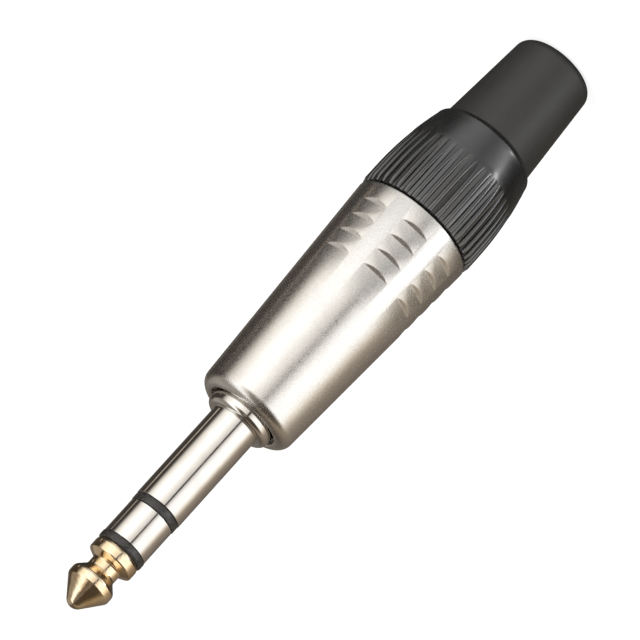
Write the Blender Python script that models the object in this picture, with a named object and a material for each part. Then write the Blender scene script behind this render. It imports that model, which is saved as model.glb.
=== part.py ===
# Stereo jack plug, 6.35 mm, three poles, with a chuck-type cable gland.
# It stands on the end of its rubber boot, tip up: the origin is the centre of that end,
# +Z runs along the plug's axis towards the tip, and -Y is the side with a column of grip recesses.
# The tip's rod, the ring's tube and the sleeve lie inside each other with an insulating tube
# between each pair, and carry the solder tags behind the sleeve's flange. The flange seats on the
# shell's front lip. The liner and the chuck stack behind it, and the nut closes the chuck.

import math

import bmesh
import bpy
from mathutils import Matrix, Vector

for old_object in list(bpy.data.objects):
    bpy.data.objects.remove(old_object, do_unlink=True)

MM = 0.001

# Lengths along the axis, from the boot's end up to the tip
BOOT_LENGTH = 14.25 * MM
NUT_LENGTH = 13.95 * MM
NUT_TO_SHELL = 0.3 * MM
SHELL_LENGTH = 31.8 * MM
COLLAR_STAND = 1.3 * MM
SLEEVE_LENGTH = 14.0 * MM
RING_BAND_WIDTH = 1.0 * MM
RING_LENGTH = 4.95 * MM
TIP_BAND_WIDTH = 0.95 * MM
TIP_LENGTH = 8.5 * MM

# Clearances: radial between turned pieces, along the axis between stacked ones
FIT = 0.05 * MM
SEAT = 0.05 * MM
LOOSE = 0.3 * MM

# Contacts: steps are the radial distances between two diameters that belong together
PLUG_DIAMETER = 6.35 * MM
RING_STEP = 0.125 * MM
BAND_STEP = 0.055 * MM
RING_DIAMETER = PLUG_DIAMETER - 2 * RING_STEP
BAND_DIAMETER = PLUG_DIAMETER - 2 * BAND_STEP
NOSE_RADIUS = 1.3 * MM
NOSE_HALF_ANGLE = math.radians(36.7)
BALL_STEP = 0.1 * MM
BALL_DIAMETER = RING_DIAMETER - 2 * BALL_STEP
BALL_LAND = 1.05 * MM
BALL_ROUND = 0.6 * MM
NECK_STEP = 1.02 * MM
NECK_DIAMETER = BALL_DIAMETER - 2 * NECK_STEP
NECK_FROM_BACK = 2.1 * MM
NECK_LAND = 1.15 * MM
NECK_ROUND = 0.3 * MM
FLARE_DIAMETER = RING_DIAMETER
FLARE_FROM_BACK = 1.5 * MM
FLARE_LAND = 0.35 * MM
FLARE_ROUND = 0.25 * MM
FLARE_FOOT_STEP = 0.15 * MM
FLARE_FOOT_DIAMETER = FLARE_DIAMETER - 2 * FLARE_FOOT_STEP
ROD_DIAMETER = 2.0 * MM
TUBE_WALL = 0.4 * MM
RING_TUBE_WALL = 0.5 * MM
EDGE = 0.12 * MM
BAND_EDGE = 0.3 * MM

# Sleeve's collar, the shell around it, and the nut around the shell's spigot
COLLAR_STEP = 1.225 * MM
COLLAR_DIAMETER = PLUG_DIAMETER + 2 * COLLAR_STEP
COLLAR_EDGE = 0.8 * MM
MOUTH_GAP = 0.35 * MM
MOUTH_DIAMETER = COLLAR_DIAMETER + 2 * MOUTH_GAP
MOUTH_DEPTH = 1.6 * MM
FRONT_WALL = 1.8 * MM
SHELL_FRONT_DIAMETER = MOUTH_DIAMETER + 2 * FRONT_WALL
SHELL_EDGE = 1.5 * MM
SHELL_BORE = 10.9 * MM
SPIGOT_WALL = 0.9 * MM
SPIGOT_DIAMETER = SHELL_BORE + 2 * SPIGOT_WALL
SPIGOT_TO_NUT = 0.8 * MM
SPIGOT_STEP = 1.82 * MM
SHELL_REAR_DIAMETER = SPIGOT_DIAMETER + 2 * SPIGOT_STEP
SHELL_REAR_EDGE = 0.15 * MM
NUT_STEP = 0.19 * MM
NUT_DIAMETER = SHELL_REAR_DIAMETER + 2 * NUT_STEP
THREAD_GAP = 0.15 * MM

# Liner, flange, and the stack of tags inside the liner, from the outermost tag inwards
LINER_WALL = 0.6 * MM
FLANGE_THICKNESS = 1.25 * MM
TAG_THICKNESS = 0.4 * MM
WASHER_THICKNESS = 0.75 * MM
TAG_TO_LINER = 0.35 * MM
TAG_STEP = 1.1 * MM
TAG_RING_WIDTH = 1.05 * MM
RIVET_STEP = 0.7 * MM
GROUND_RING_DIAMETER = SHELL_BORE - 2 * LINER_WALL - 2 * TAG_TO_LINER
HUB_DIAMETER = GROUND_RING_DIAMETER - 2 * TAG_RING_WIDTH
RING_TAG_DIAMETER = GROUND_RING_DIAMETER - 2 * TAG_STEP
TIP_TAG_DIAMETER = RING_TAG_DIAMETER - 2 * TAG_STEP
RIVET_DIAMETER = TIP_TAG_DIAMETER - 2 * RIVET_STEP
RIVET_HEIGHT = 0.8 * MM
GROUND_TAIL_LENGTH = 13.0 * MM
RING_TAIL_LENGTH = 9.0 * MM
TIP_TAIL_LENGTH = 7.0 * MM
TAIL_WIDTH = 2.4 * MM
TAIL_EYE = 1.1 * MM

# Grip recesses: flats that sink towards the rear and end in a steep step facing the tip
GRIP_ROWS = 4
GRIP_PITCH = 2.42 * MM
GRIP_REAR = 2.2 * MM
GRIP_PLACES = 8
GRIP_PLAIN_PLACE = 6
GRIP_TURN = math.radians(-2.65)
GRIP_DEPTH = 0.24 * MM
GRIP_FLAT_LENGTH = 1.6 * MM
GRIP_STEP_LENGTH = 0.45 * MM
GRIP_HALF_WIDTH = 2.8 * MM

# Nut
NUT_EDGE = 0.2 * MM
NUT_STRAIGHT = 3.1 * MM
NUT_FALL = 1.31 * MM
NUT_REAR_DIAMETER = NUT_DIAMETER - 2 * NUT_FALL
NUT_REAR_ROUND = 0.6 * MM
RIB_COUNT = 40
RIB_HEIGHT = 0.38 * MM
RIB_FLOOR_DIAMETER = NUT_DIAMETER - 2 * RIB_HEIGHT
RIB_SHARE = 0.42
NUT_CONE_LENGTH = 3.9 * MM
NUT_CONE_STEP = 0.45 * MM
NUT_CONE_FALL = 1.0 * MM
NUT_CONE_WIDE = SHELL_BORE + 2 * NUT_CONE_STEP
NUT_CONE_NARROW = NUT_CONE_WIDE - 2 * NUT_CONE_FALL
NUT_LIP_THICKNESS = 2.2 * MM
NUT_LIP_WIDTH = 2.05 * MM
NUT_LIP_BORE = NUT_REAR_DIAMETER - 2 * NUT_LIP_WIDTH

# Boot
BOOT_STEP = 0.66 * MM
BOOT_TAPER = 0.97 * MM
BOOT_FRONT_DIAMETER = NUT_REAR_DIAMETER - 2 * BOOT_STEP
BOOT_END_DIAMETER = BOOT_FRONT_DIAMETER - 2 * BOOT_TAPER
BOOT_END_ROUND = 1.4 * MM
BOOT_BORE = 6.6 * MM
BOOT_FLANGE_STEP = 0.7 * MM
BOOT_FLANGE_DIAMETER = NUT_LIP_BORE + 2 * BOOT_FLANGE_STEP
BOOT_FLANGE_THICKNESS = 0.6 * MM

# Chuck
CHUCK_RING_LENGTH = 3.5 * MM
CHUCK_IN_SHELL = 0.4 * MM
CHUCK_TO_BOOT = 1.25 * MM
CHUCK_BORE = BOOT_BORE
CHUCK_TOOTH_DEPTH = 0.3 * MM
CHUCK_TOOTH_PITCH = 1.2 * MM
CHUCK_TEETH = 4
CHUCK_SLOTS = 3
CHUCK_SLOT_WIDTH = 0.8 * MM
KEY_WIDTH = 1.6 * MM
KEY_HEIGHT = 0.35 * MM
KEY_LENGTH = 3.0 * MM

# Sides of the turned pieces: the shell, the other pieces that show, and the small inner ones
SHELL_SEGMENTS = 48
SEGMENTS = 28
INNER_SEGMENTS = 24

# Heights of the joints between the pieces
NUT_REAR_Z = BOOT_LENGTH
NUT_FRONT_Z = NUT_REAR_Z + NUT_LENGTH
SHELL_REAR_Z = NUT_FRONT_Z + NUT_TO_SHELL
SHELL_FRONT_Z = SHELL_REAR_Z + SHELL_LENGTH
LIP_REAR_Z = SHELL_FRONT_Z - MOUTH_DEPTH
COLLAR_FRONT_Z = SHELL_FRONT_Z + COLLAR_STAND
SLEEVE_FRONT_Z = COLLAR_FRONT_Z + SLEEVE_LENGTH
RING_REAR_Z = SLEEVE_FRONT_Z + RING_BAND_WIDTH + 2 * SEAT
RING_FRONT_Z = RING_REAR_Z + RING_LENGTH
TIP_REAR_Z = RING_FRONT_Z + TIP_BAND_WIDTH + 2 * SEAT
TIP_Z = TIP_REAR_Z + TIP_LENGTH
FLANGE_FRONT_Z = LIP_REAR_Z - SEAT
FLANGE_REAR_Z = FLANGE_FRONT_Z - FLANGE_THICKNESS
GROUND_TAG_Z = FLANGE_REAR_Z - SEAT
HUB_REAR_Z = GROUND_TAG_Z - TAG_THICKNESS
SLEEVE_WASHER_Z = HUB_REAR_Z - SEAT
RING_TAG_Z = SLEEVE_WASHER_Z - WASHER_THICKNESS - SEAT
RING_TUBE_REAR_Z = RING_TAG_Z - TAG_THICKNESS
RING_WASHER_Z = RING_TUBE_REAR_Z - SEAT
TIP_TAG_Z = RING_WASHER_Z - WASHER_THICKNESS - SEAT
RIVET_Z = TIP_TAG_Z - TAG_THICKNESS - SEAT
BOOT_FLANGE_Z = NUT_REAR_Z + NUT_LIP_THICKNESS + SEAT
BOOT_TOP_Z = BOOT_FLANGE_Z + BOOT_FLANGE_THICKNESS
BOOT_POCKET_Z = BOOT_TOP_Z + SEAT
NUT_CONE_REAR_Z = BOOT_POCKET_Z + LOOSE
NUT_CONE_FRONT_Z = NUT_CONE_REAR_Z + NUT_CONE_LENGTH
NUT_THREAD_REAR_Z = NUT_CONE_FRONT_Z + LOOSE
SPIGOT_REAR_Z = NUT_THREAD_REAR_Z + SPIGOT_TO_NUT
LINER_FRONT_Z = FLANGE_REAR_Z - TAG_THICKNESS - 2 * SEAT

# Radii that follow from the rod outwards
ROD_RADIUS = ROD_DIAMETER / 2
TIP_TUBE_BORE = ROD_RADIUS + FIT
TIP_TUBE_RADIUS = TIP_TUBE_BORE + TUBE_WALL
RING_TUBE_BORE = TIP_TUBE_RADIUS + FIT
RING_TUBE_RADIUS = RING_TUBE_BORE + RING_TUBE_WALL
SLEEVE_TUBE_BORE = RING_TUBE_RADIUS + FIT
SLEEVE_TUBE_RADIUS = SLEEVE_TUBE_BORE + TUBE_WALL
SLEEVE_BORE = SLEEVE_TUBE_RADIUS + FIT
CHUCK_RADIUS = SHELL_BORE / 2 - 2 * FIT
LINER_RADIUS = SHELL_BORE / 2 - 2 * FIT
CHUCK_FRONT_Z = SHELL_REAR_Z + CHUCK_IN_SHELL
CHUCK_REAR_Z = BOOT_TOP_Z + CHUCK_TO_BOOT
LINER_REAR_Z = CHUCK_FRONT_Z + LOOSE


def make_material(name, colour, roughness, metallic):
    """A plain Principled BSDF with one colour."""
    material = bpy.data.materials.new(name)
    material.use_nodes = True
    shader = material.node_tree.nodes["Principled BSDF"]
    shader.inputs["Base Color"].default_value = (*colour, 1.0)
    shader.inputs["Roughness"].default_value = roughness
    shader.inputs["Metallic"].default_value = metallic
    material.diffuse_color = (*colour, 1.0)
    return material


GOLD = make_material("gold_plate", (0.80, 0.58, 0.25), 0.16, 1.0)
NICKEL = make_material("polished_nickel", (0.76, 0.74, 0.71), 0.15, 1.0)
SATIN_NICKEL = make_material("satin_nickel", (0.68, 0.66, 0.63), 0.32, 1.0)
TINNED_BRASS = make_material("tinned_brass", (0.66, 0.62, 0.52), 0.35, 1.0)
DARK_PLASTIC = make_material("insulator_plastic", (0.05, 0.048, 0.045), 0.45, 0.0)
LINER_PLASTIC = make_material("liner_plastic", (0.55, 0.55, 0.52), 0.5, 0.0)
CHUCK_PLASTIC = make_material("chuck_plastic", (0.72, 0.71, 0.68), 0.45, 0.0)
NUT_PLASTIC = make_material("nut_plastic", (0.025, 0.025, 0.027), 0.3, 0.0)
RUBBER = make_material("boot_rubber", (0.045, 0.044, 0.042), 0.7, 0.0)


def add_object(name, mesh_edit, material):
    """Turns a finished bmesh into a named object, flat where its edges are sharp."""
    bmesh.ops.recalc_face_normals(mesh_edit, faces=mesh_edit.faces[:])
    mesh = bpy.data.meshes.new(name)
    mesh_edit.to_mesh(mesh)
    mesh_edit.free()
    mesh.materials.append(material)
    mesh.shade_smooth()
    mesh.set_sharp_from_angle(angle=math.radians(30))
    new_object = bpy.data.objects.new(name, mesh)
    bpy.context.collection.objects.link(new_object)
    return new_object


def rounded(corners, steps=2):
    """An outline from (radius, height, fillet) corners, each fillet as an arc of steps points."""
    outline = []
    count = len(corners)
    for index, (radius, height, fillet) in enumerate(corners):
        corner = Vector((radius, height))
        if fillet == 0:
            outline.append(corner)
            continue
        to_last = (Vector(corners[index - 1][:2]) - corner).normalized()
        to_next = (Vector(corners[(index + 1) % count][:2]) - corner).normalized()
        half_angle = to_last.angle(to_next) / 2
        centre = corner + (to_last + to_next).normalized() * (fillet / math.sin(half_angle))
        start = corner + to_last * (fillet / math.tan(half_angle)) - centre
        sweep = start.angle_signed(corner + to_next * (fillet / math.tan(half_angle)) - centre)
        for step in range(steps + 1):
            outline.append(centre + Matrix.Rotation(-sweep * step / steps, 2) @ start)
    return outline


def turned(name, outline, material, segments=SEGMENTS, phase=0.0):
    """Spins a closed (radius, height) outline about Z."""
    mesh_edit = bmesh.new()
    turn = Matrix.Rotation(phase, 3, "Z")
    ring = [mesh_edit.verts.new(turn @ Vector((point[0], 0, point[1]))) for point in outline]
    edges = [mesh_edit.edges.new((ring[i], ring[(i + 1) % len(ring)])) for i in range(len(ring))]
    bmesh.ops.spin(mesh_edit, geom=ring + edges, axis=(0, 0, 1), cent=(0, 0, 0),
                   angle=2 * math.pi, steps=segments, use_merge=True)
    bmesh.ops.remove_doubles(mesh_edit, verts=mesh_edit.verts[:], dist=1e-7)
    return add_object(name, mesh_edit, material)


def tube_outline(bore, radius, low, high):
    """The outline of a plain tube or washer."""
    return [(bore, low), (radius, low), (radius, high), (bore, high)]


def add_prism(mesh_edit, section, half_width, angle):
    """Adds a bar whose (radius, height) section is extruded both ways across the radius at angle."""
    turn = Matrix.Rotation(angle, 3, "Z")
    sides = []
    for across in (-half_width, half_width):
        sides.append([mesh_edit.verts.new(turn @ Vector((r, across, z))) for r, z in section])
    count = len(section)
    mesh_edit.faces.new(sides[0])
    mesh_edit.faces.new(sides[1][::-1])
    for i in range(count):
        j = (i + 1) % count
        mesh_edit.faces.new((sides[0][i], sides[1][i], sides[1][j], sides[0][j]))


def boolean(target, tool, operation):
    """Adds an exact Boolean with a tool object that is only a guide."""
    tool.hide_render = True
    tool.display_type = "WIRE"
    modifier = target.modifiers.new(tool.name, "BOOLEAN")
    modifier.object = tool
    modifier.operation = operation
    modifier.solver = "EXACT"


def make_tip_contact():
    """Ball, neck and flare, then the rod through the whole insert and its upset end."""
    nose_centre = TIP_Z - NOSE_RADIUS
    outline = rounded([
        (0, RIVET_Z - RIVET_HEIGHT, 0),
        (RIVET_DIAMETER / 2, RIVET_Z - RIVET_HEIGHT, RIVET_HEIGHT / 2),
        (RIVET_DIAMETER / 2, RIVET_Z, 0),
        (ROD_RADIUS, RIVET_Z, 0),
        (ROD_RADIUS, TIP_REAR_Z, 0),
        (FLARE_FOOT_DIAMETER / 2, TIP_REAR_Z, 0)])
    cone_start = (NOSE_RADIUS * math.cos(NOSE_HALF_ANGLE),
                  nose_centre + NOSE_RADIUS * math.sin(NOSE_HALF_ANGLE))
    ball_radius = BALL_DIAMETER / 2
    ball_front = cone_start[1] - (ball_radius - cone_start[0]) / math.tan(NOSE_HALF_ANGLE)
    head = rounded([
        (FLARE_FOOT_DIAMETER / 2, TIP_REAR_Z, 0),
        (FLARE_DIAMETER / 2, TIP_REAR_Z + FLARE_LAND, EDGE),
        (FLARE_DIAMETER / 2, TIP_REAR_Z + FLARE_FROM_BACK, FLARE_ROUND),
        (NECK_DIAMETER / 2, TIP_REAR_Z + NECK_FROM_BACK, NECK_ROUND),
        (NECK_DIAMETER / 2, TIP_REAR_Z + NECK_FROM_BACK + NECK_LAND, NECK_ROUND),
        (ball_radius, ball_front - BALL_LAND, BALL_ROUND),
        (ball_radius, ball_front, BALL_ROUND),
        (*cone_start, 0)])
    outline += head[1:]
    for step in (1, 2):
        angle = NOSE_HALF_ANGLE + (math.pi / 2 - NOSE_HALF_ANGLE) * step / 3
        outline.append((NOSE_RADIUS * math.cos(angle), nose_centre + NOSE_RADIUS * math.sin(angle)))
    outline.append((0, TIP_Z))
    return turned("tip_contact", outline, GOLD)


def make_flanged_tube(name, bore, radius, low, band_low, band_high, band_radius, front_edge,
                      material):
    """A tube with a short wide band or ring at its front end."""
    outline = rounded([
        (bore, low, 0), (radius, low, 0), (radius, band_low, 0),
        (band_radius, band_low, EDGE), (band_radius, band_high, front_edge), (bore, band_high, 0)], 1)
    return turned(name, outline, material)


def make_sleeve_barrel():
    """Sleeve with the collar that shows, the flange that seats in the shell, and the tag's hub."""
    collar = COLLAR_DIAMETER / 2
    flange = SHELL_BORE / 2 - 2 * FIT
    sleeve = PLUG_DIAMETER / 2
    outline = rounded([
        (SLEEVE_BORE, HUB_REAR_Z, 0),
        (HUB_DIAMETER / 2, HUB_REAR_Z, 0),
        (HUB_DIAMETER / 2, FLANGE_REAR_Z, 0),
        (flange, FLANGE_REAR_Z, EDGE),
        (flange, FLANGE_FRONT_Z, 0),
        (collar, FLANGE_FRONT_Z, 0),
        (collar, COLLAR_FRONT_Z, COLLAR_EDGE),
        (sleeve, COLLAR_FRONT_Z, 0),
        (sleeve, SLEEVE_FRONT_Z, EDGE),
        (SLEEVE_BORE, SLEEVE_FRONT_Z, 0)], 2)
    return turned("sleeve_barrel", outline, NICKEL)


def make_tag(name, bore, ring_radius, tail_radius, top, tail_length, angle):
    """A stamped solder tag: a ring with a tail bent to the rear, with an eye near its end."""
    tag = turned(name, tube_outline(bore, ring_radius, top - TAG_THICKNESS, top), TINNED_BRASS,
                 INNER_SEGMENTS)
    tail = bmesh.new()
    inner = tail_radius - TAG_THICKNESS
    root = (bore + ring_radius) / 2
    end = top - tail_length
    add_prism(tail, [
        (root, top), (root, top - TAG_THICKNESS), (inner, top - TAG_THICKNESS), (inner, end),
        (tail_radius, end), (tail_radius, top)], TAIL_WIDTH / 2, angle)
    tail_object = add_object(name + "_tail", tail, TINNED_BRASS)
    boolean(tag, tail_object, "UNION")
    eye = bmesh.new()
    centre = Matrix.Rotation(angle, 4, "Z") @ Matrix.Translation((tail_radius, 0, end + TAIL_WIDTH / 2))
    bmesh.ops.create_cone(eye, cap_ends=True, segments=12, radius1=TAIL_EYE / 2, radius2=TAIL_EYE / 2,
                          depth=TAIL_WIDTH, matrix=centre @ Matrix.Rotation(math.pi / 2, 4, "Y"))
    boolean(tag, add_object(name + "_eye", eye, TINNED_BRASS), "DIFFERENCE")
    return tag


def shell_radius(height):
    """The shell's outer cone."""
    share = (height - SHELL_REAR_Z) / (SHELL_LENGTH - SHELL_EDGE)
    return SHELL_REAR_DIAMETER / 2 + (SHELL_FRONT_DIAMETER - SHELL_REAR_DIAMETER) / 2 * share


def make_grip_cutters():
    """One wedge for each recess: a flat floor across the radius and a steep step at its rear."""
    cutters = bmesh.new()
    clear = 0.06 * MM
    for row in range(GRIP_ROWS):
        low = SHELL_REAR_Z + GRIP_REAR + row * GRIP_PITCH
        high = low + GRIP_STEP_LENGTH
        front = high + GRIP_FLAT_LENGTH
        floor = shell_radius(high) - GRIP_DEPTH
        step_slope = (shell_radius(low) - floor) / GRIP_STEP_LENGTH
        flat_slope = (shell_radius(front) - floor) / GRIP_FLAT_LENGTH
        low_edge = low - clear / step_slope
        front_edge = front + clear / flat_slope
        outside = SHELL_REAR_DIAMETER / 2 + GRIP_DEPTH
        section = [
            (floor, high), (shell_radius(low) + clear, low_edge), (outside, low_edge),
            (outside, front_edge), (shell_radius(front) + clear, front_edge)]
        for place in range(GRIP_PLACES):
            if place == GRIP_PLAIN_PLACE:
                continue
            angle = -math.pi / 2 + GRIP_TURN - 2 * math.pi * place / GRIP_PLACES
            add_prism(cutters, section, GRIP_HALF_WIDTH, angle)
    return add_object("grip_cutters", cutters, SATIN_NICKEL)


def make_shell():
    """Die-cast tapered tube: front lip, rear spigot for the nut, grip recesses and key slots."""
    grip_top = SHELL_REAR_Z + GRIP_REAR + GRIP_ROWS * GRIP_PITCH
    front = shell_radius(SHELL_FRONT_Z - SHELL_EDGE)
    bore = SHELL_BORE / 2
    spigot = SPIGOT_DIAMETER / 2
    rear = SHELL_REAR_DIAMETER / 2
    outline = rounded([
        (bore, SPIGOT_REAR_Z, 0),
        (spigot, SPIGOT_REAR_Z, SHELL_REAR_EDGE),
        (spigot, SHELL_REAR_Z, 0),
        (rear, SHELL_REAR_Z, SHELL_REAR_EDGE),
        (shell_radius(SHELL_REAR_Z + GRIP_REAR / 2), SHELL_REAR_Z + GRIP_REAR / 2, 0),
        (shell_radius(grip_top), grip_top, 0),
        (front, SHELL_FRONT_Z, SHELL_EDGE),
        (MOUTH_DIAMETER / 2, SHELL_FRONT_Z, EDGE),
        (MOUTH_DIAMETER / 2, LIP_REAR_Z, 0),
        (bore, LIP_REAR_Z, 0)])
    shell = turned("shell", outline, SATIN_NICKEL, SHELL_SEGMENTS, math.pi / SHELL_SEGMENTS)
    boolean(shell, make_grip_cutters(), "DIFFERENCE")
    slots = bmesh.new()
    depth = CHUCK_RADIUS + KEY_HEIGHT + 2 * FIT
    low = SPIGOT_REAR_Z - LOOSE
    high = CHUCK_FRONT_Z + LOOSE
    for angle in (0, math.pi):
        section = [(bore - KEY_HEIGHT, low), (depth, low), (depth, high), (bore - KEY_HEIGHT, high)]
        add_prism(slots, section, KEY_WIDTH / 2 + 2 * FIT, angle)
    boolean(shell, add_object("key_slots", slots, SATIN_NICKEL), "DIFFERENCE")
    return shell


def nut_radius(height):
    """The nut's outside: a straight front, then one wide arc that falls towards the rear."""
    fall_start = NUT_FRONT_Z - NUT_STRAIGHT
    fall_length = fall_start - NUT_REAR_Z - NUT_REAR_ROUND
    fall = (NUT_DIAMETER - NUT_REAR_DIAMETER) / 2
    arc_radius = (fall_length ** 2 + fall ** 2) / (2 * fall)
    run = max(0.0, fall_start - height)
    return NUT_DIAMETER / 2 - arc_radius + math.sqrt(arc_radius ** 2 - run ** 2)


def make_rib_cutters():
    """The grooves between the ribs: straight, with floors at one radius, so they run out."""
    cutters = bmesh.new()
    floor = RIB_FLOOR_DIAMETER / 2
    outside = NUT_DIAMETER / 2 + LOOSE
    half_width = math.pi * RIB_FLOOR_DIAMETER / RIB_COUNT * (1 - RIB_SHARE) / 2
    low = NUT_REAR_Z + NUT_LENGTH / 3
    high = NUT_FRONT_Z + LOOSE
    for rib in range(RIB_COUNT):
        angle = 2 * math.pi * (rib + 0.5) / RIB_COUNT
        add_prism(cutters, [(floor, low), (outside, low), (outside, high), (floor, high)],
                  half_width, angle)
    return add_object("rib_cutters", cutters, NUT_PLASTIC)


def make_gland_nut():
    """Moulded nut: thread bore, chuck's cone, pocket and lip for the boot, ribs outside."""
    thread_bore = SPIGOT_DIAMETER / 2 + THREAD_GAP
    pocket = BOOT_FLANGE_DIAMETER / 2 + 2 * FIT
    corners = [
        (NUT_LIP_BORE / 2, NUT_REAR_Z, 0),
        (NUT_REAR_DIAMETER / 2, NUT_REAR_Z, NUT_REAR_ROUND)]
    arc_low = NUT_REAR_Z + NUT_REAR_ROUND * 1.5
    arc_high = NUT_FRONT_Z - NUT_STRAIGHT
    arc_steps = 5
    for step in range(arc_steps + 1):
        height = arc_low + (arc_high - arc_low) * step / arc_steps
        corners.append((nut_radius(height), height, 0))
    corners += [
        (NUT_DIAMETER / 2, NUT_FRONT_Z, NUT_EDGE),
        (thread_bore, NUT_FRONT_Z, 0),
        (thread_bore, NUT_THREAD_REAR_Z, 0),
        (NUT_CONE_WIDE / 2, NUT_THREAD_REAR_Z, 0),
        (NUT_CONE_WIDE / 2, NUT_CONE_FRONT_Z, 0),
        (NUT_CONE_NARROW / 2, NUT_CONE_REAR_Z, 0),
        (NUT_CONE_NARROW / 2, BOOT_POCKET_Z, 0),
        (pocket, BOOT_POCKET_Z, 0),
        (pocket, NUT_REAR_Z + NUT_LIP_THICKNESS, 0),
        (NUT_LIP_BORE / 2, NUT_REAR_Z + NUT_LIP_THICKNESS, 0)]
    nut = turned("gland_nut", rounded(corners), NUT_PLASTIC, RIB_COUNT,
                 math.pi / RIB_COUNT)
    boolean(nut, make_rib_cutters(), "DIFFERENCE")
    return nut


def make_boot():
    """Rubber boot: its neck fills the nut's lip, with a flange behind the lip."""
    neck = NUT_LIP_BORE / 2 - FIT
    shoulder = NUT_REAR_Z - SEAT
    outline = rounded([
        (BOOT_BORE / 2, 0, 0),
        (BOOT_END_DIAMETER / 2, 0, BOOT_END_ROUND),
        (BOOT_FRONT_DIAMETER / 2, shoulder, EDGE),
        (neck, shoulder, 0),
        (neck, BOOT_FLANGE_Z, 0),
        (BOOT_FLANGE_DIAMETER / 2, BOOT_FLANGE_Z, 0),
        (BOOT_FLANGE_DIAMETER / 2, BOOT_TOP_Z, 0),
        (BOOT_BORE / 2, BOOT_TOP_Z, 0)])
    return turned("boot", outline, RUBBER)


def make_chuck():
    """Slotted collet: keyed ring in the shell, six fingers with teeth in the nut's cone."""
    rear = CHUCK_REAR_Z
    ring_rear = CHUCK_FRONT_Z - CHUCK_RING_LENGTH
    cone_slope = NUT_CONE_FALL / NUT_CONE_LENGTH
    finger = CHUCK_RADIUS - 3 * FIT
    cone_at_rear = NUT_CONE_NARROW / 2 + (rear - NUT_CONE_REAR_Z) * cone_slope - LOOSE
    cone_top = rear + (finger - cone_at_rear) / cone_slope
    bore = CHUCK_BORE / 2
    outline = [
        (bore, rear), (cone_at_rear, rear), (finger, cone_top), (finger, ring_rear),
        (CHUCK_RADIUS, ring_rear), (CHUCK_RADIUS, CHUCK_FRONT_Z), (bore, CHUCK_FRONT_Z)]
    for tooth in range(CHUCK_TEETH, 0, -1):
        crest = rear + tooth * CHUCK_TOOTH_PITCH
        outline.append((bore, crest))
        outline.append((bore + CHUCK_TOOTH_DEPTH, crest - CHUCK_TOOTH_PITCH / 3))
    chuck = turned("chuck", outline, CHUCK_PLASTIC)
    keys = bmesh.new()
    key_radius = CHUCK_RADIUS + KEY_HEIGHT
    root = CHUCK_RADIUS - 2 * KEY_HEIGHT
    key_high = CHUCK_FRONT_Z - LOOSE
    key_low = key_high - KEY_LENGTH
    for angle in (0, math.pi):
        section = [(root, key_low), (key_radius, key_low), (key_radius, key_high), (root, key_high)]
        add_prism(keys, section, KEY_WIDTH / 2, angle)
    boolean(chuck, add_object("chuck_keys", keys, CHUCK_PLASTIC), "UNION")
    slots = bmesh.new()
    for slot in range(2 * CHUCK_SLOTS):
        angle = math.pi * (slot + 0.5) / CHUCK_SLOTS
        section = [(bore - LOOSE, rear - LOOSE), (2 * bore, rear - LOOSE),
                   (2 * bore, ring_rear - LOOSE), (bore - LOOSE, ring_rear - LOOSE)]
        add_prism(slots, section, CHUCK_SLOT_WIDTH / 2, angle)
    boolean(chuck, add_object("chuck_slots", slots, CHUCK_PLASTIC), "DIFFERENCE")
    return chuck


make_tip_contact()
make_flanged_tube("tip_insulator", TIP_TUBE_BORE, TIP_TUBE_RADIUS, RING_WASHER_Z - WASHER_THICKNESS,
                  RING_FRONT_Z + SEAT, TIP_REAR_Z - SEAT, BAND_DIAMETER / 2, BAND_EDGE, DARK_PLASTIC)
make_flanged_tube("ring_contact", RING_TUBE_BORE, RING_TUBE_RADIUS, RING_TUBE_REAR_Z,
                  RING_REAR_Z, RING_FRONT_Z, RING_DIAMETER / 2, EDGE, NICKEL)
make_flanged_tube("ring_insulator", SLEEVE_TUBE_BORE, SLEEVE_TUBE_RADIUS,
                  SLEEVE_WASHER_Z - WASHER_THICKNESS,
                  SLEEVE_FRONT_Z + SEAT, RING_REAR_Z - SEAT, BAND_DIAMETER / 2, EDGE, DARK_PLASTIC)
make_sleeve_barrel()

make_tag("ground_lug", HUB_DIAMETER / 2 + FIT, GROUND_RING_DIAMETER / 2, GROUND_RING_DIAMETER / 2,
         GROUND_TAG_Z, GROUND_TAIL_LENGTH, -math.pi / 2)
turned("sleeve_washer", tube_outline(SLEEVE_TUBE_RADIUS + FIT, RING_TAG_DIAMETER / 2,
                                     SLEEVE_WASHER_Z - WASHER_THICKNESS, SLEEVE_WASHER_Z),
       DARK_PLASTIC, INNER_SEGMENTS)
make_tag("ring_lug", RING_TUBE_RADIUS + FIT, RING_TAG_DIAMETER / 2, RING_TAG_DIAMETER / 2,
         RING_TAG_Z, RING_TAIL_LENGTH, math.radians(30))
turned("ring_washer", tube_outline(TIP_TUBE_RADIUS + FIT, TIP_TAG_DIAMETER / 2,
                                   RING_WASHER_Z - WASHER_THICKNESS, RING_WASHER_Z),
       DARK_PLASTIC, INNER_SEGMENTS)
make_tag("tip_lug", ROD_RADIUS + FIT, TIP_TAG_DIAMETER / 2, TIP_TAG_DIAMETER / 2,
         TIP_TAG_Z, TIP_TAIL_LENGTH, math.radians(150))

make_shell()
turned("liner", tube_outline(LINER_RADIUS - LINER_WALL, LINER_RADIUS, LINER_REAR_Z, LINER_FRONT_Z),
       LINER_PLASTIC, INNER_SEGMENTS)
make_gland_nut()
make_boot()
make_chuck()
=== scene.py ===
import bpy
import math
from mathutils import Matrix, Vector


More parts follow.
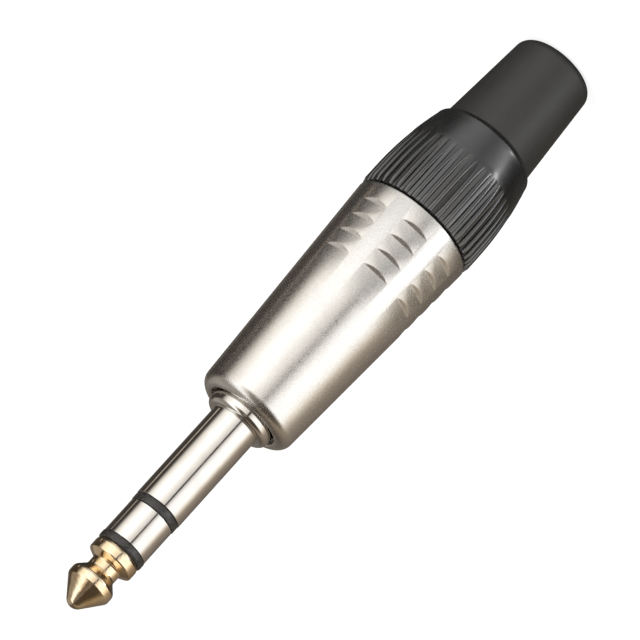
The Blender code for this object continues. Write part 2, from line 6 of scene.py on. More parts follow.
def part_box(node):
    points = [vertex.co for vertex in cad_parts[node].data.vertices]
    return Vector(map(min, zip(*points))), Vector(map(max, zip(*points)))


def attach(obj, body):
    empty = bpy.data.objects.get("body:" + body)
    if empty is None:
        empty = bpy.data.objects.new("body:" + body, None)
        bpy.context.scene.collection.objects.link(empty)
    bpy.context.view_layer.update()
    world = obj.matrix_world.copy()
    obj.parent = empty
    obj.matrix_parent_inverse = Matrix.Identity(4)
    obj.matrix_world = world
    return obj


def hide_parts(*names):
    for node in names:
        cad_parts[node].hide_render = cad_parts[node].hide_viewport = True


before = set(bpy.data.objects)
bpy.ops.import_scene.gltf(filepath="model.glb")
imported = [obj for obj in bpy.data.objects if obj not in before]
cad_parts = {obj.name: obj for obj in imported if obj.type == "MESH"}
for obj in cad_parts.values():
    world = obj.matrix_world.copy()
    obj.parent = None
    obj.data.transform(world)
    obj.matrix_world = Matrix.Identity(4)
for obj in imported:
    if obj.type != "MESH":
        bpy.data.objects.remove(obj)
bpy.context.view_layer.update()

# Tip contact: turned brass with a polished gold plate. Its cone, ball and neck are one piece with
# the thin rod that runs back through the plug, where its end is upset over the tip's solder tag.
MM = 0.001
WELD = 0.001 * MM
SAME_PLACE = 0.02 * MM


def spin_outline(name, outline, steps=160):
    """Draws a closed outline point by point in the XZ plane and spins it round the Z axis."""
    bpy.ops.object.select_all(action="DESELECT")
    start_r, start_z = outline[0]
    bpy.ops.mesh.primitive_plane_add(size=1 * MM, location=(start_r, 0, start_z))
    piece = bpy.context.object
    piece.name = piece.data.name = name
    bpy.ops.object.mode_set(mode="EDIT")
    bpy.ops.mesh.merge(type="CENTER")
    for (last_r, last_z), (r, z) in zip(outline, outline[1:]):
        bpy.ops.mesh.extrude_region_move(
            TRANSFORM_OT_translate={"value": (r - last_r, 0, z - last_z)})
    bpy.ops.mesh.select_all(action="SELECT")
    bpy.ops.mesh.edge_face_add()
    bpy.ops.mesh.delete(type="ONLY_FACE")
    bpy.ops.mesh.select_all(action="SELECT")
    bpy.ops.mesh.spin(steps=steps, angle=2 * math.pi, center=(0, 0, 0), axis=(0, 0, 1))
    bpy.ops.mesh.select_all(action="SELECT")
    bpy.ops.mesh.remove_doubles(threshold=WELD)
    bpy.ops.mesh.normals_make_consistent(inside=False)
    bpy.ops.object.mode_set(mode="OBJECT")
    bpy.ops.object.transform_apply(location=True, rotation=True, scale=True)
    return piece


def round_ring(piece, radius, height, width, segments=4):
    """Bevels the turned edge that lies at one radius and height."""
    bpy.ops.object.select_all(action="DESELECT")
    piece.select_set(True)
    bpy.context.view_layer.objects.active = piece
    bpy.ops.object.mode_set(mode="EDIT")
    bpy.ops.mesh.select_all(action="DESELECT")
    bpy.ops.object.mode_set(mode="OBJECT")
    on_ring = [abs(math.hypot(vertex.co.x, vertex.co.y) - radius) < SAME_PLACE
               and abs(vertex.co.z - height) < SAME_PLACE for vertex in piece.data.vertices]
    for edge in piece.data.edges:
        edge.select = all(on_ring[end] for end in edge.vertices)
    bpy.ops.object.mode_set(mode="EDIT")
    bpy.ops.mesh.select_mode(type="EDGE")
    bpy.ops.mesh.bevel(offset=width, segments=segments, affect="EDGES", clamp_overlap=True)
    bpy.ops.mesh.select_mode(type="VERT")
    bpy.ops.object.mode_set(mode="OBJECT")


def smooth(piece, degrees=35, true_faces=True):
    """Smooth shading that keeps edges sharper than the angle and, if asked, long faces true."""
    bpy.ops.object.select_all(action="DESELECT")
    piece.select_set(True)
    bpy.context.view_layer.objects.active = piece
    bpy.ops.object.shade_smooth_by_angle(angle=math.radians(degrees))
    if true_faces:
        weighted = piece.modifiers.new("weighted", "WEIGHTED_NORMAL")
        weighted.keep_sharp = True
        bpy.ops.object.modifier_apply(modifier=weighted.name)


def finish_tree(name, colour, roughness, metallic):
    """Starts a finish: its Principled shader's own values, and the tree to add detail to."""
    finish = bpy.data.materials.new(name)
    finish.use_nodes = True
    tree = finish.node_tree
    shader = tree.nodes["Principled BSDF"]
    shader.inputs["Base Color"].default_value = (*colour, 1)
    shader.inputs["Roughness"].default_value = roughness
    shader.inputs["Metallic"].default_value = metallic
    return finish, tree, shader


def grain(tree, stretch, scale, detail=3.0, roughness=0.6):
    """A noise on Object coordinates, stretched along some axes."""
    place = tree.nodes.new("ShaderNodeTexCoord")
    mapping = tree.nodes.new("ShaderNodeMapping")
    mapping.inputs["Scale"].default_value = stretch
    noise = tree.nodes.new("ShaderNodeTexNoise")
    noise.inputs["Scale"].default_value = scale
    noise.inputs["Detail"].default_value = detail
    noise.inputs["Roughness"].default_value = roughness
    tree.links.new(place.outputs["Object"], mapping.inputs["Vector"])
    tree.links.new(mapping.outputs["Vector"], noise.inputs["Vector"])
    return noise.outputs["Fac"]


def spread_to(tree, source, socket, low, high, from_low=0.3, from_high=0.7):
    """Sends a 0 to 1 pattern to a socket as values from low to high."""
    spread = tree.nodes.new("ShaderNodeMapRange")
    spread.inputs["From Min"].default_value = from_low
    spread.inputs["From Max"].default_value = from_high
    spread.inputs["To Min"].default_value = low
    spread.inputs["To Max"].default_value = high
    tree.links.new(source, spread.inputs["Value"])
    tree.links.new(spread.outputs["Result"], socket)


def colour_between(tree, source, socket, first, second, low=0.3, high=0.7):
    """Sends a 0 to 1 pattern to a colour socket as a ramp between two colours."""
    ramp = tree.nodes.new("ShaderNodeValToRGB")
    ramp.color_ramp.elements[0].position = low
    ramp.color_ramp.elements[1].position = high
    ramp.color_ramp.elements[0].color = (*first, 1)
    ramp.color_ramp.elements[1].color = (*second, 1)
    tree.links.new(source, ramp.inputs["Fac"])
    tree.links.new(ramp.outputs["Color"], socket)


def soft_edges(tree, radius):
    """Relief that rounds the finish over sharp edges by a small radius."""
    edge = tree.nodes.new("ShaderNodeBevel")
    edge.samples = 6
    edge.inputs["Radius"].default_value = radius
    return edge


def bump(tree, shader, source, distance, strength, under=None):
    """Adds relief from a pattern, over another relief if one is given."""
    relief = tree.nodes.new("ShaderNodeBump")
    relief.inputs["Distance"].default_value = distance
    relief.inputs["Strength"].default_value = strength
    tree.links.new(source, relief.inputs["Height"])
    if under is not None:
        tree.links.new(under.outputs["Normal"], relief.inputs["Normal"])
    tree.links.new(relief.outputs["Normal"], shader.inputs["Normal"])
    return relief


def dress(piece, finish, body, node):
    """Puts the finish on a piece, and lets it ride on its body in its solid's place."""
    piece.data.materials.clear()
    piece.data.materials.append(finish)
    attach(piece, body)
    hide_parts(node)


def arc(centre_r, centre_z, radius, start, end, steps):
    """Points of an arc in the outline's plane, by angles in degrees from +R towards +Z."""
    return [(centre_r + radius * math.cos(math.radians(start + (end - start) * k / steps)),
             centre_z + radius * math.sin(math.radians(start + (end - start) * k / steps)))
            for k in range(steps + 1)]


low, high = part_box("tip_contact")
rod, upset, waist, ball = 1.0 * MM, 1.6 * MM, 1.93 * MM, 2.95 * MM
flare, flare_rim = 3.05 * MM, 2.9 * MM
rod_end, tip_top = low.z, high.z
upset_front = rod_end + 0.8 * MM
flare_back = tip_top - 8.5 * MM
rim_front = flare_back + 0.35 * MM
flare_front = flare_back + 1.5 * MM
waist_back = flare_back + 2.1 * MM
waist_front = flare_back + 3.25 * MM
ball_back = flare_back + 4.37 * MM
ball_front = flare_back + 5.42 * MM
nose_radius, cone_angle = 1.3 * MM, 36.7
nose = arc(0, tip_top - nose_radius, nose_radius, cone_angle, 90, 10)[:-1] + [(0, tip_top)]
tip_contact = spin_outline("gold_tip", [
    (0, rod_end), (upset, rod_end), (upset, upset_front), (rod, upset_front), (rod, flare_back),
    (flare_rim, flare_back), (flare, rim_front), (flare, flare_front), (waist, waist_back),
    (waist, waist_front), (ball, ball_back), (ball, ball_front)] + nose)
for radius, height, width, segments in (
        (upset, rod_end, 0.4, 5), (flare_rim, flare_back, 0.05, 3), (flare, rim_front, 0.08, 4),
        (flare, flare_front, 0.15, 6), (waist, waist_back, 0.18, 8), (waist, waist_front, 0.18, 8),
        (ball, ball_back, 0.25, 10), (ball, ball_front, 0.22, 10)):
    round_ring(tip_contact, radius, height, width * MM, segments)
smooth(tip_contact)

gold, tree, shader = finish_tree("polished_gold", (0.87, 0.71, 0.45), 0.10, 1.0)
turning = grain(tree, (0.15, 0.15, 1.0), 9000, 4)
cloud = grain(tree, (1, 1, 1), 500, 4)
colour_between(tree, cloud, shader.inputs["Base Color"], (0.81, 0.605, 0.36), (0.98, 0.83, 0.61))
wiped = grain(tree, (1, 1, 0.7), 1300, 3)
spread_to(tree, wiped, shader.inputs["Roughness"], 0.05, 0.15)
relief = bump(tree, shader, turning, 0.00001, 0.12)
bump(tree, shader, wiped, 0.00006, 0.5, relief)
dress(tip_contact, gold, "housing", "tip_contact")

# Insulators: two dark plastic tubes with a band at the front, pressed over the rod and the tube.
# They are turned flush with the metal once the contacts are together, so the bands show fine
# turning marks.
insulator, tree, shader = finish_tree("insulator_black", (0.020, 0.018, 0.016), 0.30, 0.0)
shader.inputs["IOR"].default_value = 1.52
marks = grain(tree, (1, 1, 1.6), 2300, 5, 0.7)
colour_between(tree, marks, shader.inputs["Base Color"],
               (0.006, 0.0055, 0.005), (0.052, 0.048, 0.044))
spread_to(tree, marks, shader.inputs["Roughness"], 0.20, 0.42)
bump(tree, shader, marks, 0.00003, 0.5)
band = 3.12 * MM
for name, node, bore, tube, band_width, front_edge in (
        ("tip_band", "tip_insulator", 1.05 * MM, 1.45 * MM, 0.95 * MM, 0.3 * MM),
        ("ring_band", "ring_insulator", 2.05 * MM, 2.45 * MM, 1.0 * MM, 0.12 * MM)):
    low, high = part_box(node)
    back = high.z - band_width
    piece = spin_outline(name, [
        (bore, low.z), (tube, low.z), (tube, back), (band, back), (band, high.z), (bore, high.z)],
        128)
    round_ring(piece, band, back, 0.06 * MM, 3)
    round_ring(piece, band, high.z, front_edge, 5)
    smooth(piece)
    dress(piece, insulator, "housing", node)

# Ring contact: turned brass tube with a polished nickel plate, whose front end is the ring. The
# sleeve has the same finish. Its collar fills most of the shell's mouth, and its flange is held
# inside the shell's front lip.
nickel, tree, shader = finish_tree("polished_nickel", (0.76, 0.735, 0.70), 0.09, 1.0)
turning = grain(tree, (0.12, 0.12, 1.0), 9000, 4)
specks = grain(tree, (1, 1, 0.25), 5200, 4)
cloud = grain(tree, (1, 1, 1), 350, 3)
colour_between(tree, cloud, shader.inputs["Base Color"], (0.71, 0.685, 0.65), (0.80, 0.78, 0.75))
spread_to(tree, specks, shader.inputs["Roughness"], 0.05, 0.13)
relief = bump(tree, shader, turning, 0.00001, 0.08)
bump(tree, shader, specks, 0.00001, 0.1, relief)

low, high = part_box("ring_contact")
bore, tube, ring, ring_length = 1.5 * MM, 2.0 * MM, 3.05 * MM, 4.95 * MM
back = high.z - ring_length
ring_contact = spin_outline("nickel_ring", [
    (bore, low.z), (tube, low.z), (tube, back), (ring, back), (ring, high.z), (bore, high.z)])
round_ring(ring_contact, ring, back, 0.1 * MM)
round_ring(ring_contact, ring, high.z, 0.1 * MM)
smooth(ring_contact)
dress(ring_contact, nickel, "housing", "ring_contact")

low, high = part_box("sleeve_barrel")
bore, tail, flange, collar, sleeve = 2.5 * MM, 3.45 * MM, 5.34 * MM, 4.4 * MM, 3.175 * MM
collar_front = high.z - 14.0 * MM
flange_front = collar_front - 2.95 * MM
flange_back = flange_front - 1.25 * MM
sleeve_barrel = spin_outline("nickel_sleeve", [
    (bore, low.z), (tail, low.z), (tail, flange_back), (flange, flange_back),
    (flange, flange_front), (collar, flange_front), (collar, collar_front),
    (sleeve, collar_front), (sleeve, high.z), (bore, high.z)])
round_ring(sleeve_barrel, flange, flange_back, 0.15 * MM)
round_ring(sleeve_barrel, collar, collar_front, 0.8 * MM, 10)
round_ring(sleeve_barrel, sleeve, collar_front, 0.12 * MM)
round_ring(sleeve_barrel, sleeve, high.z, 0.12 * MM)
smooth(sleeve_barrel)
dress(sleeve_barrel, nickel, "housing", "sleeve_barrel")

# Solder tags, washers, liner and chuck: stamped tinned brass tags between plastic washers, a clear
# plastic tube around them, and the moulded collet that grips the cable. They sit inside the shell,
# and show only through the cable hole.


def coat(node, finish):
    """Puts a finish on a solid that the scene shows as it is."""
    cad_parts[node].data.materials.clear()
    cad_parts[node].data.materials.append(finish)


tinned, tree, shader = finish_tree("tinned_brass", (0.66, 0.62, 0.52), 0.35, 1.0)
dull = grain(tree, (1, 1, 1), 1800, 4)
colour_between(tree, dull, shader.inputs["Base Color"], (0.56, 0.51, 0.42), (0.74, 0.70, 0.60))
spread_to(tree, dull, shader.inputs["Roughness"], 0.28, 0.5)
for node in ("ground_lug", "ring_lug", "tip_lug"):
    coat(node, tinned)
for node in ("sleeve_washer", "ring_washer"):
    coat(node, insulator)

clear_tube, tree, shader = finish_tree("liner_tube", (0.50, 0.50, 0.47), 0.4, 0.0)
colour_between(tree, grain(tree, (1, 1, 0.1), 900), shader.inputs["Base Color"],
               (0.44, 0.44, 0.41), (0.56, 0.56, 0.53))
coat("liner", clear_tube)

acetal, tree, shader = finish_tree("chuck_acetal", (0.72, 0.71, 0.67), 0.42, 0.0)
moulding = grain(tree, (1, 1, 1), 2600, 4)
colour_between(tree, moulding, shader.inputs["Base Color"], (0.66, 0.65, 0.61), (0.76, 0.75, 0.71))
bump(tree, shader, moulding, 0.00002, 0.25)
coat("chuck", acetal)

# Shell: die-cast zinc with a satin nickel plate. Its cone ends in a flat front face with a rounded
# edge. Towards the rear it has rows of grip recesses, and the nut screws on a thread behind them.
low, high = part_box("shell")
bore, spigot, mouth = 5.45 * MM, 6.05 * MM, 4.75 * MM
shell_front = high.z
shell_back = shell_front - 31.8 * MM
lip_back = shell_front - 1.6 * MM
rear_radius, shoulder_radius = 8.165 * MM, 6.55 * MM
cone_length, shoulder_length = 30.3 * MM, 1.5 * MM
cone_slope = (rear_radius - shoulder_radius) / cone_length
front_radius = shoulder_radius - cone_slope * shoulder_length
middle = 15.0 * MM
shell = spin_outline("satin_shell", [
    (bore, low.z), (spigot, low.z), (spigot, shell_back), (rear_radius, shell_back),
    (rear_radius - cone_slope * middle, shell_back + middle), (front_radius, shell_front),
    (mouth, shell_front), (mouth, lip_back), (bore, lip_back)], 192)
round_ring(shell, spigot, low.z, 0.3 * MM)
round_ring(shell, rear_radius, shell_back, 0.16 * MM)
round_ring(shell, front_radius, shell_front, 1.45 * MM, 14)
round_ring(shell, mouth, shell_front, 0.3 * MM, 6)


def thread_ridge(name, root, crest, low, high, pitch):
    """A helical ridge between two heights: a closed section wound round Z, with fading ends."""
    flank, land, foot = 0.42 * pitch, 0.54 * pitch, 0.96 * pitch
    bpy.ops.object.select_all(action="DESELECT")
    bpy.ops.mesh.primitive_plane_add(size=1 * MM)
    ridge = bpy.context.object
    ridge.name = ridge.data.name = name
    corners = [(root, 0), (crest, flank), (root, foot), (crest, land)]
    for vertex, (r, z) in zip(ridge.data.vertices, corners):
        vertex.co = (r, 0, low + z)
    bpy.ops.object.mode_set(mode="EDIT")
    bpy.ops.mesh.select_all(action="SELECT")
    bpy.ops.mesh.delete(type="ONLY_FACE")
    bpy.ops.object.mode_set(mode="OBJECT")
    winding = ridge.modifiers.new("winding", "SCREW")
    winding.screw_offset = pitch
    winding.iterations = int((high - low - foot) / pitch)
    winding.steps = winding.render_steps = 72
    bpy.ops.object.modifier_apply(modifier=winding.name)
    last = max(vertex.co.z for vertex in ridge.data.vertices)
    for vertex in ridge.data.vertices:
        radius = math.hypot(vertex.co.x, vertex.co.y)
        from_end = min(vertex.co.z - low, last - vertex.co.z) / foot
        full = min(1.0, max(0.0, from_end * 1.6))
        faded = root + (radius - root) * full
        vertex.co.x *= faded / radius
        vertex.co.y *= faded / radius
    bpy.ops.object.mode_set(mode="EDIT")
    bpy.ops.mesh.select_all(action="SELECT")
    bpy.ops.mesh.fill_holes(sides=0)
    bpy.ops.mesh.select_all(action="SELECT")
    bpy.ops.mesh.normals_make_consistent(inside=False)
    bpy.ops.object.mode_set(mode="OBJECT")
    return ridge


def join_to(piece, added):
    """Joins copies or ridges into their piece."""
    bpy.ops.object.select_all(action="DESELECT")
    for part in added:
        part.select_set(True)
    piece.select_set(True)
    bpy.context.view_layer.objects.active = piece
    bpy.ops.object.join()


recess_rows, first_recess, recess_pitch = 4, 2.2 * MM, 2.42 * MM
recess_places, plain_place = 8, 6
recess_depth, recess_flat, recess_step = 0.24 * MM, 1.6 * MM, 0.5 * MM
recess_half_width, first_turn = 2.8 * MM, -92.65
proud, valley = 0.5 * MM, 0.002 * MM
for row in range(recess_rows):
    up = first_recess + recess_pitch * row
    step_back = shell_back + up
    step_front = step_back + recess_step
    outer_back = rear_radius - cone_slope * up
    outer_mid = outer_back - cone_slope * recess_step
    floor = outer_mid - recess_depth
    flat_front = step_front + recess_flat
    outer_front = outer_mid - cone_slope * recess_flat
    step_slope = (outer_back - floor) / recess_step
    flat_slope = (outer_front - floor) / recess_flat
    corners = {
        (True, True): (outer_front + proud, flat_front + proud / flat_slope),
        (True, False): (outer_back + proud, step_back - proud / step_slope),
        (False, True): (floor, step_front + valley), (False, False): (floor, step_front)}
    for place in range(recess_places):
        if place == plain_place:
            continue
        turn = Matrix.Rotation(math.radians(first_turn - 360 / recess_places * place), 3, "Z")
        bpy.ops.object.select_all(action="DESELECT")
        bpy.ops.mesh.primitive_cube_add(size=2)
        cutter = bpy.context.object
        for vertex in cutter.data.vertices:
            r, z = corners[vertex.co.x > 0, vertex.co.z > 0]
            vertex.co = turn @ Vector((r, math.copysign(recess_half_width, vertex.co.y), z))
        cut = shell.modifiers.new("recess", "BOOLEAN")
        cut.object = cutter
        cut.operation = "DIFFERENCE"
        cut.solver = "EXACT"
        bpy.ops.object.select_all(action="DESELECT")
        shell.select_set(True)
        bpy.context.view_layer.objects.active = shell
        bpy.ops.object.modifier_apply(modifier=cut.name)
        bpy.data.objects.remove(cutter, do_unlink=True)
thread_pitch = 1.0 * MM
join_to(shell, [thread_ridge("spigot_thread", spigot - 0.05 * MM, 6.32 * MM, low.z + 0.3 * MM,
                             shell_back - 0.2 * MM, thread_pitch)])
smooth(shell, 25, true_faces=False)

satin, tree, shader = finish_tree("satin_nickel", (0.78, 0.755, 0.72), 0.24, 1.0)
sand = grain(tree, (1, 1, 1), 7000, 5, 0.65)
peel = grain(tree, (1, 1, 1), 2600, 4, 0.7)
cloud = grain(tree, (1, 1, 0.4), 420, 4)
colour_between(tree, cloud, shader.inputs["Base Color"], (0.74, 0.715, 0.68), (0.82, 0.80, 0.765))
spread_to(tree, peel, shader.inputs["Roughness"], 0.18, 0.31)
edge = soft_edges(tree, 0.18 * MM)
relief = bump(tree, shader, peel, 0.00003, 0.25, edge)
bump(tree, shader, sand, 0.00002, 0.5, relief)
dress(shell, satin, "housing", "shell")

# Gland nut: moulded black plastic. It swells and narrows towards the rear, and its straight ribs
# run out where its side falls below their floor. A lip at its rear holds the boot.
low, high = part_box("gland_nut")
nut_back, nut_front = low.z, high.z
nut_radius, nut_straight = 8.33 * MM, 3.1 * MM
fall_length, fall = 10.25 * MM, 1.31 * MM
arc_radius = (fall_length ** 2 + fall ** 2) / (2 * fall)


def nut_side(height):
    """The nut's outer radius at a height: straight at the front, then one wide arc."""
    run = max(0.0, nut_front - nut_straight - height)
    return nut_radius - arc_radius + math.sqrt(arc_radius ** 2 - run ** 2)


rib_floor, rear_face, nut_bore = 7.86 * MM, 7.03 * MM, 6.52 * MM
boot_hole, boot_groove, cone_end = 5.0 * MM, 5.75 * MM, 4.95 * MM
lip_front = nut_back + 2.2 * MM
groove_front = nut_back + 2.9 * MM
bore_back = nut_front - 7.0 * MM
side = [(min(nut_side(z), rib_floor), z)
        for z in (nut_back + (0.9 + 0.4 * k) * MM for k in range(32))]
gland_nut = spin_outline("black_nut", [(boot_hole, nut_back), (rear_face, nut_back)] + side + [
    (rib_floor, nut_front), (nut_bore, nut_front), (nut_bore, bore_back),
    (cone_end, bore_back - 0.3 * MM), (cone_end, groove_front + 0.05 * MM),
    (boot_groove, groove_front), (boot_groove, lip_front), (boot_hole, lip_front)])
round_ring(gland_nut, rear_face, nut_back, 0.8 * MM, 10)
round_ring(gland_nut, boot_hole, nut_back, 0.2 * MM)
round_ring(gland_nut, rib_floor, nut_front, 0.25 * MM, 5)

rib_count, rib_root, rib_half_width = 40, 7.0 * MM, 0.38 * MM
rib_length, rib_inset, crest_inset = 10.2 * MM, 0.05 * MM, 0.01 * MM
bpy.ops.object.select_all(action="DESELECT")
bpy.ops.mesh.primitive_cube_add(size=2)
rib = bpy.context.object
bpy.ops.object.mode_set(mode="EDIT")
bpy.ops.mesh.select_all(action="SELECT")
bpy.ops.mesh.subdivide(number_cuts=13)
bpy.ops.object.mode_set(mode="OBJECT")
for vertex in rib.data.vertices:
    back = (1 - vertex.co.z) / 2 * rib_length
    z = nut_front - rib_inset - back
    lift = max(nut_side(z) - rib_floor, 0) - crest_inset
    lift *= math.sqrt(min(1.0, 0.25 + back / (0.8 * MM)))
    across = vertex.co.y * math.pi / 2
    top = min(nut_side(z), rib_floor) - 0.02 * MM + lift * math.cos(across) ** 0.8
    out = (vertex.co.x + 1) / 2
    vertex.co = (rib_root + out * (top - rib_root), math.sin(across) * rib_half_width, z)
ribs = []
for k in range(rib_count):
    copy = rib.copy()
    copy.data = rib.data.copy()
    copy.data.transform(Matrix.Rotation(math.radians(360 / rib_count * k), 4, "Z"))
    bpy.context.collection.objects.link(copy)
    ribs.append(copy)
bpy.data.objects.remove(rib, do_unlink=True)
join_to(gland_nut, ribs + [thread_ridge("nut_thread", nut_bore + 0.03 * MM, 6.40 * MM,
                                        nut_front - 6.6 * MM, nut_front - 0.3 * MM, thread_pitch)])
smooth(gland_nut, 50)

black, tree, shader = finish_tree("moulded_black", (0.014, 0.0135, 0.013), 0.24, 0.0)
shader.inputs["IOR"].default_value = 1.95
moulding = grain(tree, (1, 1, 1), 5000, 4)
haze = grain(tree, (1, 1, 0.5), 600, 3)
colour_between(tree, haze, shader.inputs["Base Color"],
               (0.010, 0.0095, 0.009), (0.018, 0.0175, 0.017))
spread_to(tree, haze, shader.inputs["Roughness"], 0.14, 0.22)
bump(tree, shader, moulding, 0.00001, 0.25)
dress(gland_nut, black, "nut", "gland_nut")

# Boot: moulded rubber, a slow taper with a rounded end and a hole for the cable. Its neck is
# pressed through the nut's lip and held by a flange in front of it.
low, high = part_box("boot")
cable_hole, boot_end, boot_shoulder = 3.3 * MM, 5.41 * MM, 6.38 * MM
neck, flange, play = 4.95 * MM, 5.68 * MM, 0.05 * MM
boot = spin_outline("rubber_boot", [
    (cable_hole, low.z), (boot_end, low.z), (boot_shoulder, nut_back - play),
    (neck, nut_back - play), (neck, lip_front + play), (flange, lip_front + play),
    (flange, high.z), (cable_hole, high.z)])
round_ring(boot, boot_end, low.z, 1.4 * MM, 12)
round_ring(boot, boot_shoulder, nut_back - play, 0.3 * MM, 6)
round_ring(boot, cable_hole, low.z, 0.2 * MM)
smooth(boot)

rubber, tree, shader = finish_tree("matte_rubber", (0.020, 0.019, 0.0175), 0.42, 0.0)
shader.inputs["IOR"].default_value = 1.6
pores = grain(tree, (1, 1, 1), 6500, 5, 0.7)
bloom = grain(tree, (1, 1, 0.4), 260, 4)
colour_between(tree, bloom, shader.inputs["Base Color"],
               (0.016, 0.015, 0.014), (0.024, 0.023, 0.021))
spread_to(tree, pores, shader.inputs["Roughness"], 0.44, 0.58)
bump(tree, shader, pores, 0.00003, 0.35)
dress(boot, rubber, "nut", "boot")

# Floor and backdrop: one pale sheet, white to the camera and with the plug's shadow on it.
floor_size, floor_drop = 8, 0.02 * MM
bpy.ops.object.select_all(action="DESELECT")
bpy.ops.mesh.primitive_plane_add(size=floor_size, location=(0, 0, -floor_drop))
floor = bpy.context.object
floor.name = "floor"
sheet, tree, shader = finish_tree("pale_sheet", (0.90, 0.90, 0.90), 0.8, 0.0)
shader.inputs["Specular IOR Level"].default_value = 0.1
seen_sheet = tree.nodes.new("ShaderNodeBsdfPrincipled")
seen_sheet.inputs["Base Color"].default_value = (0.28, 0.28, 0.28, 1)
seen_sheet.inputs["Roughness"].default_value = 0.9
seen_sheet.inputs["Specular IOR Level"].default_value = 0.0
seen_sheet.inputs["Emission Color"].default_value = (1, 1, 1, 1)
seen_sheet.inputs["Emission Strength"].default_value = 0.80
path = tree.nodes.new("ShaderNodeLightPath")
either = tree.nodes.new("ShaderNodeMixShader")
tree.links.new(path.outputs["Is Camera Ray"], either.inputs["Fac"])
tree.links.new(shader.outputs["BSDF"], either.inputs[1])
tree.links.new(seen_sheet.outputs["BSDF"], either.inputs[2])
tree.links.new(either.outputs["Shader"], tree.nodes["Material Output"].inputs["Surface"])
floor.data.materials.append(sheet)
floor.visible_glossy = False

# Studio light: the world is a white room with two lamps. Reflections see its soft boxes and the
# dark gaps between them, laid out by the direction round the plug in one layout for the sides, one
# for overhead and two for below.
world = bpy.data.worlds.new("studio")
bpy.context.scene.world = world
world.use_nodes = True
world.cycles.sampling_method = "NONE"
tree = world.node_tree
back = tree.nodes["Background"]
out = tree.nodes["World Output"]
place = tree.nodes.new("ShaderNodeTexCoord")
split = tree.nodes.new("ShaderNodeSeparateXYZ")
tree.links.new(place.outputs["Generated"], split.inputs["Vector"])


def maths(operation, first, second):
    """One maths node on sockets or plain numbers."""
    node = tree.nodes.new("ShaderNodeMath")
    node.operation = operation
    for socket, value in zip(node.inputs, (first, second)):
        if isinstance(value, (int, float)):
            socket.default_value = value
        else:
            tree.links.new(value, socket)
    return node.outputs["Value"]


def layout(stops):
    """A ramp round the plug: stops are (degrees from the camera's side, level or colour)."""
    ramp = tree.nodes.new("ShaderNodeValToRGB")
    ends = ramp.color_ramp.elements
    ends.remove(ends[-1])
    for number, (degrees, level) in enumerate(stops):
        colour = (level, level, level) if isinstance(level, (int, float)) else level
        stop = ends.new((degrees + 180) / 360) if number else ends[0]
        stop.color = (*colour, 1)
    tree.links.new(around, ramp.inputs["Fac"])
    return ramp.outputs["Color"]


def height_between(start, end):
    """0 to 1 as the direction's height goes from start to end."""
    node = tree.nodes.new("ShaderNodeMapRange")
    node.interpolation_type = "SMOOTHSTEP"
    node.inputs["From Min"].default_value = start
    node.inputs["From Max"].default_value = end
    tree.links.new(split.outputs["Z"], node.inputs["Value"])
    return node.outputs["Result"]


def blend(amount, first, second, kind="MIX"):
    """Mixes or adds the second colour to the first by an amount from 0 to 1."""
    node = tree.nodes.new("ShaderNodeMix")
    node.data_type = "RGBA"
    node.blend_type = kind
    tree.links.new(amount, node.inputs["Factor"])
    tree.links.new(first, node.inputs["A"])
    tree.links.new(second, node.inputs["B"])
    return node.outputs["Result"]


angle = maths("ARCTAN2", maths("MULTIPLY", split.outputs["X"], -1.0),
              maths("MULTIPLY", split.outputs["Y"], -1.0))
around = maths("ADD", maths("DIVIDE", angle, 2 * math.pi), 0.5)
side_lights = layout([
    (-180, (0.20, 0.18, 0.16)), (-162, (0.19, 0.17, 0.15)), (-146, (0.072, 0.062, 0.053)),
    (-116, (0.050, 0.043, 0.037)), (-103, (0.054, 0.047, 0.041)), (-91, (0.070, 0.062, 0.055)),
    (-81.5, (0.62, 0.58, 0.52)), (-72, (1.06, 1.02, 0.95)), (-60, (1.30, 1.27, 1.21)), (-45, 1.5),
    (-28, 1.5), (-14, (1.24, 1.21, 1.15)), (-2, (0.98, 0.95, 0.90)), (6.5, (0.80, 0.765, 0.725)),
    (9.5, (0.05, 0.045, 0.041)), (13.5, (0.05, 0.045, 0.041)), (16.5, (0.68, 0.65, 0.63)),
    (25, (1.16, 1.13, 1.10)), (36, 1.4), (64, 1.42), (72, (1.30, 1.27, 1.20)),
    (81, (0.98, 0.89, 0.77)), (90, (0.58, 0.50, 0.41)), (100, (0.36, 0.305, 0.245)),
    (114, (0.28, 0.235, 0.19)), (135, (0.21, 0.175, 0.145)), (158, (0.16, 0.136, 0.115)),
    (180, (0.20, 0.18, 0.16))])
low_strip = layout([
    (-180, 0), (-115.5, 0), (-112.5, (0.62, 0.53, 0.45)), (-109.5, (0.62, 0.53, 0.45)),
    (-106.5, 0), (180, 0)])
top_lights = layout([
    (-180, (0.14, 0.125, 0.11)), (-155, (0.38, 0.355, 0.33)), (-126, (0.36, 0.33, 0.295)),
    (-108, (0.27, 0.235, 0.195)), (-97, (0.31, 0.275, 0.235)), (-87, (0.50, 0.46, 0.41)),
    (-77, 1.0), (-66, 1.5), (-48, 1.5), (-35, (0.80, 0.75, 0.67)), (-23, (0.25, 0.205, 0.16)),
    (-10, (0.12, 0.094, 0.072)), (-3, (0.20, 0.18, 0.165)), (9, (0.20, 0.18, 0.165)),
    (17, (0.078, 0.061, 0.047)), (72, (0.075, 0.059, 0.045)), (90, (0.20, 0.165, 0.118)),
    (106, (0.35, 0.285, 0.21)), (130, (0.22, 0.18, 0.138)), (155, (0.11, 0.092, 0.076)),
    (180, (0.14, 0.125, 0.11))])
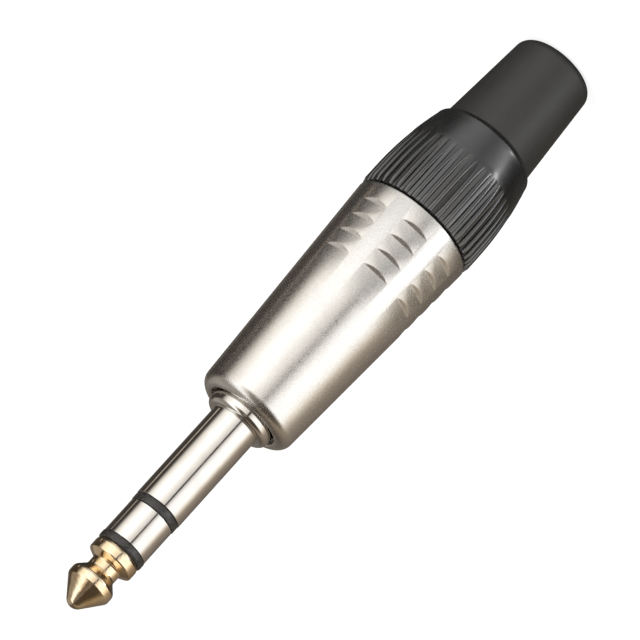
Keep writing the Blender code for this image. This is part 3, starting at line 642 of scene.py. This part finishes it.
under_lights = layout([
    (-180, 0.02), (-150, 0.04), (-125, 0.04), (-98, 0.05), (-84, 0.16), (-74, 0.36), (-62, 0.62),
    (-50, 0.78), (-38, 0.82), (-25, 0.75), (-10, 0.64), (0, 0.56), (9, 0.50), (18, 0.55),
    (28, 0.62), (40, 0.70), (46, 1.4), (49, (5.2, 5.3, 5.4)), (55, (5.2, 5.3, 5.4)), (58, 1.2),
    (66, 0.5), (75, 0.2), (84, 0.06), (100, 0.04), (120, (0.06, 0.054, 0.046)),
    (150, (0.10, 0.09, 0.08)), (180, 0.02)])
rear_lights = layout([
    (-180, 0.02), (-150, 0.04), (-125, 0.04), (-98, 0.05), (-84, 0.18), (-74, 0.40), (-62, 0.70),
    (-50, 0.86), (-38, 0.88), (-25, 0.78), (-10, 0.60), (0, 0.50), (9, 0.46), (18, 0.56),
    (28, 0.78), (38, 1.1), (46, 1.5), (56, 1.45), (64, 0.7), (75, 0.22), (84, 0.06),
    (100, 0.04), (120, (0.06, 0.054, 0.046)), (150, (0.10, 0.09, 0.08)), (180, 0.02)])
dark_floor = tree.nodes.new("ShaderNodeRGB")
dark_floor.outputs["Color"].default_value = (0.02, 0.018, 0.016, 1)
sides = blend(height_between(-0.25, -0.275), side_lights, low_strip, "ADD")
level_and_up = blend(height_between(0.22, 0.48), sides, top_lights)
lower = blend(height_between(-0.58, -0.66), under_lights, rear_lights)
lower = blend(height_between(-0.82, -0.93), lower, dark_floor.outputs["Color"])
room = blend(height_between(-0.335, -0.42), level_and_up, lower)
tree.links.new(room, back.inputs["Color"])
white = tree.nodes.new("ShaderNodeBackground")
white.inputs["Color"].default_value = (1, 1, 1, 1)
plain = tree.nodes.new("ShaderNodeBackground")
plain.inputs["Color"].default_value = (1, 1, 1, 1)
plain.inputs["Strength"].default_value = 0.75
path = tree.nodes.new("ShaderNodeLightPath")
metal_or_plain = tree.nodes.new("ShaderNodeMixShader")
tree.links.new(path.outputs["Is Glossy Ray"], metal_or_plain.inputs["Fac"])
tree.links.new(plain.outputs["Background"], metal_or_plain.inputs[1])
tree.links.new(back.outputs["Background"], metal_or_plain.inputs[2])
seen = tree.nodes.new("ShaderNodeMixShader")
tree.links.new(path.outputs["Is Camera Ray"], seen.inputs["Fac"])
tree.links.new(metal_or_plain.outputs["Shader"], seen.inputs[1])
tree.links.new(white.outputs["Background"], seen.inputs[2])
tree.links.new(seen.outputs["Shader"], out.inputs["Surface"])

lit_point = Vector((0, 0, 0.04))
for name, spot, size, power in (
        ("key_box", (0.35, -0.35, 0.45), 0.35, 2.2),
        ("fill_box", (-0.40, -0.25, 0.40), 0.40, 1.2)):
    light = bpy.data.lights.new(name, "AREA")
    light.shape = "SQUARE"
    light.size = size
    light.energy = power
    lamp = bpy.data.objects.new(name, light)
    lamp.location = spot
    lamp.rotation_euler = (lit_point - Vector(spot)).to_track_quat("-Z", "Y").to_euler()
    lamp.visible_glossy = False
    bpy.context.collection.objects.link(lamp)

# Camera: a long lens that looks down at the standing plug and is rolled, so the tip points down
# and left.
picture_width, focal_length = 640, 4270
camera_data = bpy.data.cameras.new("camera")
camera_data.sensor_width = 36
camera_data.lens = focal_length / picture_width * camera_data.sensor_width
camera_data.clip_start = 0.01
camera_data.clip_end = 20
camera = bpy.data.objects.new("camera", camera_data)
bpy.context.collection.objects.link(camera)
middle_height = shell_front + 0.031
spot = Vector((0.0008, -0.480, middle_height + 0.1195))
aim = Vector((0.0008, 0, middle_height - 0.0465))
roll_cosine, roll_sine = 0.7417, 0.6707
backward = (spot - aim).normalized()
along = (Vector((0, 0, 1)) - backward * backward.z).normalized()
right = (Vector((-1, 0, 0)) * roll_cosine - along * roll_sine).normalized()
upward = backward.cross(right)
camera.matrix_world = Matrix((
    (right.x, upward.x, backward.x, spot.x), (right.y, upward.y, backward.y, spot.y),
    (right.z, upward.z, backward.z, spot.z), (0, 0, 0, 1)))
bpy.context.scene.camera = camera
bpy.context.scene.view_settings.view_transform = "Standard"
